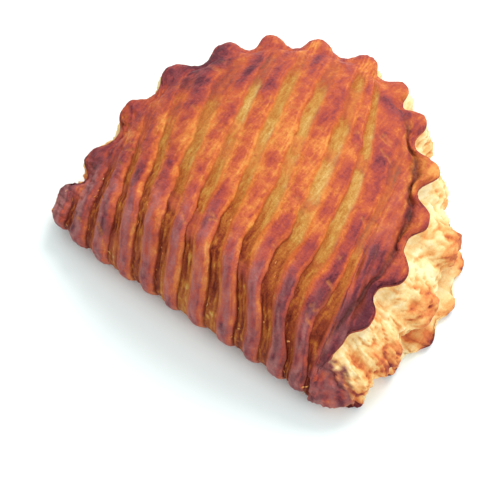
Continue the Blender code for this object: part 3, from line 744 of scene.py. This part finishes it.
def slat_bake_and_light(m):
    """How brown the slats are, with painted highlight and shade in places."""
    x, y, run, inset, away = m["x"], m["y"], m["run"], m["inset"], m["away"]
    over, opened, fold, left, lip = m["over"], m["opened"], m["fold"], m["left"], m["lip"]
    plateau, patches = m["plateau"], m["patches"]
    at_rim = after(m["share"], 0.60, 0.1)
    burnt = after(noise(m["across"] / 6.5, y / 19.0, 0.0, seed=64), 0.10, 0.45)
    burnt = burnt * bump(over - 0.5, mix(0.30, 0.50, opened))
    burnt = burnt * (1.0 - 0.8 * plateau) * (1.0 - 0.5 * after(y, 22.0, 20.0))
    # by place: browner in front, at both ends and at the left of the back, and paler on the dome's
    # crest as a painted highlight
    bake_and_painted_light = PLAIN_BAKE + 0.18 * m["front"] + 0.09 * m["right"] + 0.12 * left - 0.12 * m["crest"]
    # browner towards the back: partly baking, partly painted shade that tones down the back where
    # the key light falls brightest; paler again at the very back
    bake_and_painted_light = bake_and_painted_light + 0.14 * after(y, 46.0, 36.0) - 0.12 * after(y, 84.0, 10.0)
    bake_and_painted_light = bake_and_painted_light + 0.12 * after(x, 16.0, 12.0) * (1.0 - after(y, 18.0, 24.0))
    back_left = after(-x, 6.0, 20.0) * after(y, 48.0, 16.0) * (1.0 - after(y, 76.0, 14.0))
    bake_and_painted_light = bake_and_painted_light + 0.20 * back_left + 0.10 * left * fold + 0.06 * fold * before(x, 10.0, 30.0)
    bake_and_painted_light = bake_and_painted_light - 0.05 * opened * (1.0 - after(y, 62.0, 20.0))
    bake_and_painted_light = bake_and_painted_light + 0.02 * lip + 0.08 * bump(inset, 16.0)
    bake_and_painted_light = bake_and_painted_light + 0.24 * patches + 0.26 * burnt * (1.0 - m["crest"])
    # across each slat: brown in the middle, paler at its edges
    bake_and_painted_light = bake_and_painted_light + mix(0.10, 0.03, opened) * bump(over - 0.42, 0.28)
    bake_and_painted_light = bake_and_painted_light - mix(0.20, 0.10, opened) * bump(over - 0.02, 0.13)
    bake_and_painted_light = bake_and_painted_light - mix(0.06, 0.19, fold) * after(over, 0.66, 0.12)
    bake_and_painted_light = bake_and_painted_light + after(over, 0.5, 0.3) * (0.14 * m["frayed"] + 0.22 * m["strand"])
    # the broad slat at the right end, and the lip and its teeth
    bake_and_painted_light = bake_and_painted_light - 0.10 * lip * noise(run / 5.0, 0.4, 0.1, seed=65)
    streaked = 0.52 * m["bands"] + 0.10 - 0.22 * after(y, 36.0, 16.0)
    streaked = streaked + 0.12 * before(away, 48.0, 20.0)
    bake_and_painted_light = bake_and_painted_light + plateau * (1.0 - 0.5 * lip) * streaked
    # the lip is paler at the back right: partly its own colour, partly a painted highlight
    bake_and_painted_light = bake_and_painted_light - 0.50 * lip * at_rim * after(away, 52.0, 12.0)
    bake_and_painted_light = bake_and_painted_light + (0.26 + 0.20 * patches) * bump(inset, 2.0) * at_rim
    bake_and_painted_light = mix(0.74 + 0.16 * patches, bake_and_painted_light, smooth(2.0 * m["skin"] - 0.5))
    return mix(bake_and_painted_light, 0.85 + 0.32 * m["spots"] + 0.20 * m["strand"], m["scab"])


def slat_outline(m):
    """The painted shade in the crevice beside each slat, and the orange line along its edges."""
    side, opened, plateau = m["side"], m["opened"], m["plateau"]
    # painted shade where each slat's right edge overhangs its slash
    crevice_shade = bump(side - SLAT_SHARE - 0.025, 0.026) * m["on_skin"] * (1.0 - plateau)
    crevice_shade = crevice_shade * (1.0 - 0.85 * opened) * (0.8 + 0.5 * m["patches"])
    rim = np.maximum(bump(side - 0.98, 0.045), bump(side, 0.05))
    rim = rim + bump(side - SLAT_SHARE + 0.04, mix(0.05, 0.08, opened))
    rim = np.clip(rim, 0.0, 1.0) * m["on_skin"] * (1.0 - plateau)
    rim = rim * (1.0 - 0.62 * m["fold"]) * (1.0 - 0.4 * opened) * (1.0 - 0.6 * m["shut"])
    return crevice_shade * m["skin"], rim * m["skin"]


def slash_glow(m):
    """How pale the slashes are."""
    x, y, fold = m["x"], m["y"], m["fold"]
    # paler on the dome's crest: painted highlight
    glow = 0.25 + 0.29 * after(y, 8.0, 30.0) - 0.10 * after(-x, 22.0, 30.0) + 0.13 * m["crest"]
    glow = glow + 0.10 * after(x, 6.0, 24.0) * after(y, 30.0, 20.0) + 0.16 * (m["t"] - 0.5)
    glow = mix(glow, 0.30 + 0.10 * m["bands"], m["plateau"])
    flecks = after(noise(m["across"] / 0.8, y / 2.2, m["z"] / 3.0, seed=79), 0.30, 0.3)
    glow = glow - 0.16 * m["shut"] + mix(0.09, 0.24, fold) * m["fibre"] + 0.24 * fold * flecks
    return glow + 0.08 * m["patches"] - 0.2 * bump(m["inset"], 10.0)


def cut_rust(m):
    """Where the pale cut edge shows, and how brown it is."""
    run, row, z, share, away = m["run"], m["row"], m["z"], m["share"], m["away"]
    rust = 0.16 + 0.10 * m["lump"] - 0.12 * m["leaves"] - 0.10 * m["folds"] - 0.08 * m["crust"]
    rust = rust + 0.12 * bump(z - 8.0, 4.5) - 0.10 * m["ridge"] + 0.10 * m["patches"]
    rust = rust + 0.30 * m["vein"] + 0.44 * m["knuckle"] + 0.75 * before(row, 0.6, 0.6)
    rust = rust + 0.40 * m["knuckle"] * after(row, 5.9, 0.6)
    based = smooth(1.5 * base_teeth(run) - 0.25)
    rust = rust + (based ** 2 - 0.04) * bump(row - 9.9, 1.0)
    rust = rust + 0.20 * (1.0 - after(share, 0.10, 0.15))
    rust = rust + 0.08 * before(away, 62.0, 26.0) * after(away, 8.0, 8.0)
    from_end = away - 2.5 * m["spots"] - 1.6 * noise(row / 1.2, run / 3.0, 0.0, seed=63)
    start = mix(0.5, 6.5, after(z, 3.0, 15.0))
    cut = m["cut"] ** 0.5 * smooth((from_end - start) / 4.0) * after(run, 1.0, 4.0)
    return cut, rust + 0.26 * before(from_end, 14.0, 8.0)


def painted_mauve_sheen(m):
    """Painted sheen: a mauve cast that stands for the glaze's reflection of the white
    surroundings, over the darkest slats.
    """
    fold, left, plateau = m["fold"], m["left"], m["plateau"]
    painted_sheen = 0.32 * fold + 0.16 * left * fold + 0.04 * left + 0.08 * plateau * (1.0 - m["lip"])
    painted_sheen = painted_sheen * (1.0 - 0.7 * after(m["over"], 0.66, 0.12) * (1.0 - plateau))
    cloud = noise(m["across"] / 2.2, m["y"] / 5.0, m["z"] / 5.0, seed=80)
    return painted_sheen * np.clip(1.0 + 1.5 * cloud, 0.0, 2.0)


def paint(m):
    zones(m)
    crevice_shade, rim = slat_outline(m)
    cut, rust = cut_rust(m)
    shown = np.clip((1.0 - m["slat"]) * (1.0 - 0.8 * m["shut"]), 0.0, 1.0)
    made = {"bake_and_painted_light": slat_bake_and_light(m), "painted_sheen": painted_mauve_sheen(m), "open": shown * m["skin"],
            "glow": slash_glow(m), "cut": cut, "rust": rust, "crack": m["crack"],
            "crevice_shade": crevice_shade, "rim": rim, "valley": seal_valley(m)}
    return {name: np.clip(values, 0.0, 1.0) for name, values in made.items()}


# Material

def srgb(r, g, b):
    def channel(c):
        c = c / 255.0
        return c / 12.92 if c <= 0.04045 else ((c + 0.055) / 1.055) ** 2.4
    return (channel(r), channel(g), channel(b), 1.0)


class Nodes:
    def __init__(self, name):
        self.material = bpy.data.materials.new(name)
        self.material.use_nodes = True
        self.tree = self.material.node_tree
        self.shader = self.tree.nodes["Principled BSDF"]

    def new(self, kind, **values):
        node = self.tree.nodes.new(kind)
        for key, value in values.items():
            setattr(node, key, value)
        return node

    def link(self, a, b):
        self.tree.links.new(a, b)

    def attribute(self, name):
        return self.new("ShaderNodeAttribute", attribute_name=name).outputs["Fac"]

    def noise(self, scale, detail, stretch=None, roughness=0.55):
        coordinates = self.new("ShaderNodeTexCoord").outputs["Object"]
        if stretch:
            mapping = self.new("ShaderNodeMapping")
            mapping.inputs["Scale"].default_value = stretch
            mapping.inputs["Rotation"].default_value = (0.0, 0.0, STREAK_TURN)
            self.link(coordinates, mapping.inputs["Vector"])
            coordinates = mapping.outputs["Vector"]
        node = self.new("ShaderNodeTexNoise")
        node.inputs["Scale"].default_value = scale
        node.inputs["Detail"].default_value = detail
        node.inputs["Roughness"].default_value = roughness
        self.link(coordinates, node.inputs["Vector"])
        return node.outputs["Fac"]

    def math(self, operation, a, b, clamp=False):
        node = self.new("ShaderNodeMath", operation=operation, use_clamp=clamp)
        for socket, value in zip(node.inputs, (a, b)):
            if isinstance(value, (int, float)):
                socket.default_value = value
            else:
                self.link(value, socket)
        return node.outputs[0]

    def times(self, name, factor, clamp=False):
        return self.math("MULTIPLY", self.attribute(name), factor, clamp)

    def vary(self, base, *changes):
        """base + amount * (texture - 0.5), for each texture and amount"""
        for texture, amount in changes:
            change = self.math("MULTIPLY", self.math("SUBTRACT", texture, 0.5), amount)
            base = self.math("ADD", base, change)
        return base

    def ramp(self, factor, stops):
        node = self.new("ShaderNodeValToRGB")
        elements = node.color_ramp.elements
        while len(elements) < len(stops):
            elements.new(0.5)
        for element, (at, color) in zip(elements, stops):
            element.position, element.color = at, srgb(*color)
        self.link(factor, node.inputs["Fac"])
        return node.outputs["Color"]

    def mix(self, factor, a, b):
        node = self.new("ShaderNodeMix", data_type="RGBA")
        self.link(factor, node.inputs[0])
        for socket, value in ((node.inputs[6], a), (node.inputs[7], b)):
            if isinstance(value, tuple):
                socket.default_value = value
            else:
                self.link(value, socket)
        return node.outputs[2]


def pastry_material():
    n = Nodes("baked_puff_pastry")
    fine = n.noise(1900.0, 2.0)
    mottle = n.noise(420.0, 4.0)
    streak = n.noise(1100.0, 3.0, stretch=STREAK_STRETCH)
    grain = n.noise(900.0, 2.0, roughness=0.6)

    bake_and_painted_light = n.vary(n.attribute("bake_and_painted_light"), (mottle, 0.42), (streak, 0.44), (fine, 0.26), (grain, 0.32))
    glow = n.vary(n.attribute("glow"), (streak, 0.44), (fine, 0.34), (mottle, 0.2))
    rust = n.vary(n.attribute("rust"), (mottle, 0.40), (streak, 0.24), (fine, 0.16))
    # painted sheen: the slats turn mauve where the glaze would reflect the white surroundings
    sheen_share = n.times("painted_sheen", n.math("MULTIPLY", grain, 2.0))
    slat = n.mix(n.math("MINIMUM", sheen_share, 0.7), n.ramp(bake_and_painted_light, SLAT_COLORS), srgb(*SHEEN_COLOR))
    color = n.mix(n.attribute("open"), slat, n.ramp(glow, SLASH_COLORS))
    for name, factor, over in (
            ("rim", n.math("MULTIPLY", mottle, 0.8, True), EDGE_COLOR),
            # painted shade in the crevices
            ("crevice_shade", 0.7, CREVICE_SHADE_COLOR),
            ("valley", n.math("MULTIPLY", mottle, 1.5, True), VALLEY_COLOR),
            ("crack", 0.7, CRACK_COLOR)):
        color = n.mix(n.times(name, factor), color, srgb(*over))
    color = n.mix(n.attribute("cut"), color, n.ramp(rust, CUT_COLORS))
    n.link(color, n.shader.inputs["Base Color"])

    rough = n.math("ADD", GLAZE_ROUGHNESS, n.times("open", 0.16))
    rough = n.math("MAXIMUM", rough, n.times("cut", CUT_ROUGHNESS))
    n.link(n.vary(rough, (mottle, 0.22)), n.shader.inputs["Roughness"])
    n.shader.inputs["Specular IOR Level"].default_value = PASTRY_SPECULAR

    height = n.math("ADD", n.math("MULTIPLY", mottle, 0.6), n.math("MULTIPLY", streak, 0.6))
    height = n.math("ADD", height, n.math("MULTIPLY", fine, 0.25))
    height = n.math("ADD", height, n.math("MULTIPLY", grain, 0.7))
    relief = n.new("ShaderNodeBump")
    relief.inputs["Strength"].default_value = 0.9
    relief.inputs["Distance"].default_value = 0.7 * MM
    n.link(height, relief.inputs["Height"])
    n.link(relief.outputs["Normal"], n.shader.inputs["Normal"])
    return n.material


# Pieces

def add_mesh(name, points, faces, material, masks):
    mesh = bpy.data.meshes.new(name)
    mesh.from_pydata((np.asarray(points) * MM).tolist(), [], faces)
    mesh.materials.append(material)
    mesh.polygons.foreach_set("use_smooth", [True] * len(mesh.polygons))
    for key, values in masks.items():
        layer = mesh.attributes.new(key, "FLOAT", "POINT")
        layer.data.foreach_set("value", np.asarray(values, np.float32))
    piece = bpy.data.objects.new(name, mesh)
    bpy.context.scene.collection.objects.link(piece)
    return piece


def flake_places(rng, normal, masks):
    """Random points of the skin, mostly in the slashes and near the fold."""
    likely = masks["skin"] * masks["on_skin"] * (0.04 + bump(masks["side"] - 0.74, 0.10))
    likely = likely * (masks["z"] > 5.0) * (normal[:, 2] > -0.1)
    likely = likely * (0.35 + before(masks["y"], 34.0, 20.0))
    return rng.choice(len(likely), FLAKES, replace=False, p=likely / likely.sum())


def flakes(points, quads, masks):
    """Small curled crumbs of pastry lying on the skin, mostly in and beside the slashes."""
    rng = np.random.default_rng(5)
    normal = vertex_normals(points, quads)
    places = flake_places(rng, normal, masks)
    around = np.linspace(0.0, 2.0 * pi, 10, endpoint=False)
    levels = np.linspace(-0.5 * pi, 0.5 * pi, 5)[1:-1]
    n, thick = len(around), FLAKE_THICKNESS
    parts, faces = [], []
    for at in places:
        up = normal[at]
        along = np.array((rng.normal(0.0, 0.4), 1.0, rng.normal(0.0, 0.3)))
        along = along - up * (along @ up)
        along /= np.linalg.norm(along)
        aside = np.cross(up, along)
        length, width = rng.uniform(0.3, 0.85), rng.uniform(0.15, 0.34)
        curl = rng.uniform(0.1, 0.5)
        shape = 1.0 + 0.25 * rng.normal(size=n)
        rings = [np.stack([length * shape * np.cos(around) * cos(level),
                           width * shape * np.sin(around) * cos(level),
                           np.full(n, thick * sin(level))], -1) for level in levels]
        local = np.concatenate([[(0.0, 0.0, -thick)]] + rings + [[(0.0, 0.0, thick)]])
        local[:, 2] += curl * (local[:, 0] / length) ** 2 * length * 0.5 + 0.03
        start, last = len(parts) * len(local), len(local) - 1
        parts.append(points[at] + local @ np.array((along, aside, up)))
        for k in range(n):
            following = (k + 1) % n
            faces.append([start, start + 1 + following, start + 1 + k])
            for ring in range(len(levels) - 1):
                low, high = start + 1 + ring * n, start + 1 + (ring + 1) * n
                faces.append([low + k, low + following, high + following, high + k])
            top = start + 1 + (len(levels) - 1) * n
            faces.append([top + k, top + following, start + last])
    rust = np.repeat(rng.uniform(0.38, 0.74, len(parts)), len(parts[0]))
    return np.concatenate(parts), faces, {"cut": np.ones(len(rust)), "rust": rust}


points, quads, base, masks = turnover_mesh()
finish = pastry_material()
faces = quads.tolist() + [base.tolist()]
pastry = add_mesh("pastry_turnover", points, faces, finish, paint(masks))
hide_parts("turnover")
flake_points, flake_faces, flake_masks = flakes(points, quads, masks)
crumbs = add_mesh("pastry_flakes", flake_points, flake_faces, finish, flake_masks)
for piece in (pastry, crumbs):
    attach(piece, "root")


# Stage

def build_floor():
    n = Nodes("white_floor")
    n.shader.inputs["Base Color"].default_value = FLOOR_COLOR
    n.shader.inputs["Roughness"].default_value = 0.9
    n.shader.inputs["Specular IOR Level"].default_value = 0.1
    mesh = bpy.data.meshes.new("floor")
    far = FLOOR_HALF
    mesh.from_pydata([(-far, -far, 0), (far, -far, 0), (far, far, 0), (-far, far, 0)],
                     [], [(0, 1, 2, 3)])
    mesh.materials.append(n.material)
    floor = bpy.data.objects.new("floor", mesh)
    bpy.context.scene.collection.objects.link(floor)


def add_light(name, place, size, power):
    light = bpy.data.lights.new(name, "AREA")
    light.shape = "DISK"
    light.size = size
    light.energy = power
    lamp = bpy.data.objects.new(name, light)
    lamp.location = place
    aim = Vector(LIGHT_TARGET) - Vector(place)
    lamp.rotation_euler = aim.to_track_quat("-Z", "Y").to_euler()
    bpy.context.scene.collection.objects.link(lamp)


def add_sky():
    world = bpy.data.worlds.new("studio")
    world.use_nodes = True
    world.node_tree.nodes["Background"].inputs["Color"].default_value = SKY_COLOR
    world.node_tree.nodes["Background"].inputs["Strength"].default_value = SKY_STRENGTH
    bpy.context.scene.world = world


def add_camera():
    a, e = radians(CAMERA_AZIMUTH), radians(CAMERA_ELEVATION)
    back = Vector((sin(a) * cos(e), -cos(a) * cos(e), sin(e)))
    data = bpy.data.cameras.new("camera")
    data.lens, data.sensor_width = CAMERA_LENS, CAMERA_SENSOR
    camera = bpy.data.objects.new("camera", data)
    camera.location = Vector(CAMERA_TARGET) + back * CAMERA_DISTANCE
    camera.rotation_euler = back.to_track_quat("Z", "Y").to_euler()
    bpy.context.scene.collection.objects.link(camera)
    bpy.context.scene.camera = camera


build_floor()
add_sky()
add_light("key", (-0.05, 0.75, 0.85), 0.7, 8.5)
add_light("fill", (0.65, -0.10, 0.75), 0.6, 2.0)
add_camera()
bpy.context.scene.view_settings.view_transform = "Standard"
